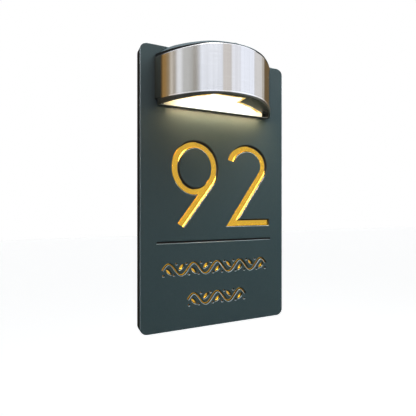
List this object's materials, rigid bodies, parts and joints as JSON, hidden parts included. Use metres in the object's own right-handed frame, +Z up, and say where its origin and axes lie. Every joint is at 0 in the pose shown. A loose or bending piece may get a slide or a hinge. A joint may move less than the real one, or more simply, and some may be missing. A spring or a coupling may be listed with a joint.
{
  "type": "illuminated house number sign",
  "caption": "Wall sign plate with recessed numerals and a half-moon solar lamp that lights it from above.",
  "frame": {"origin": "middle of the plate's back face, which lies on the wall", "axes": "+X along the plate's width, +Y into the wall, +Z up along the plate's height"},
  "size_m": [0.16, 0.09, 0.3],
  "materials": {
    "panel_finish": "satin routed sheet with a very fine grain; gold enamel in the recesses",
    "bond_finish": "double-sided foam tape",
    "core_finish": "dark board with a satin cut edge",
    "steel_finish": "fine brushing along the strip",
    "housing_finish": "moulded, fine spark texture",
    "lid_finish": "moulded, satin",
    "bezel_finish": "moulded, satin",
    "opal": "opal, lit from behind",
    "reflector_white": "white moulding",
    "foam": "closed-cell foam",
    "silicone": "soft seal",
    "circuit_green": "solder resist",
    "circuit_black": "moulded packages",
    "led_yellow": "phosphor in a white package",
    "cell_wrap": "shrink sleeve",
    "spring_steel": "nickel plated",
    "screw_steel": "zinc plated",
    "stainless": "rolled stainless",
    "brass_insert": "turned brass",
    "solar_blue": "crystalline silicon",
    "clear_resin": "clear cast resin",
    "button_finish": "soft moulded cap"
  },
  "bodies": {
    "sign": {"front_panel": "panel_finish", "bond_sheet": "bond_finish", "back_plate": "core_finish", "hanger_plates": "stainless", "hanger_screws": "screw_steel", "lamp_pad": "foam", "steel_band": "steel_finish", "lamp_housing": "housing_finish", "lower_bezel": "bezel_finish", "diffuser": "opal", "reflector": "reflector_white", "led_board": "circuit_green", "leds": "led_yellow", "battery_holder": "circuit_black", "battery": "cell_wrap", "battery_contacts": "spring_steel", "control_board": "circuit_green", "board_parts": "circuit_black", "switch_body": "circuit_black", "top_cover": "lid_finish", "cover_seal": "silicone", "panel_board": "circuit_green", "solar_cells": "solar_blue", "panel_window": "clear_resin", "lamp_inserts": "brass_insert", "lamp_screws": "screw_steel", "bezel_screws": "screw_steel", "cover_screws": "screw_steel", "board_screws": "screw_steel"},
    "button": {"push_button": "button_finish", "switch_plunger": "reflector_white"}
  },
  "joints": [
    {"name": "button_press", "type": "slide", "parent": "sign", "child": "button", "axis": [0, 0, -1], "range_m": [0, 0.0012], "stiffness_N_per_m": 800, "springref_m": -0.0005}
  ]
}
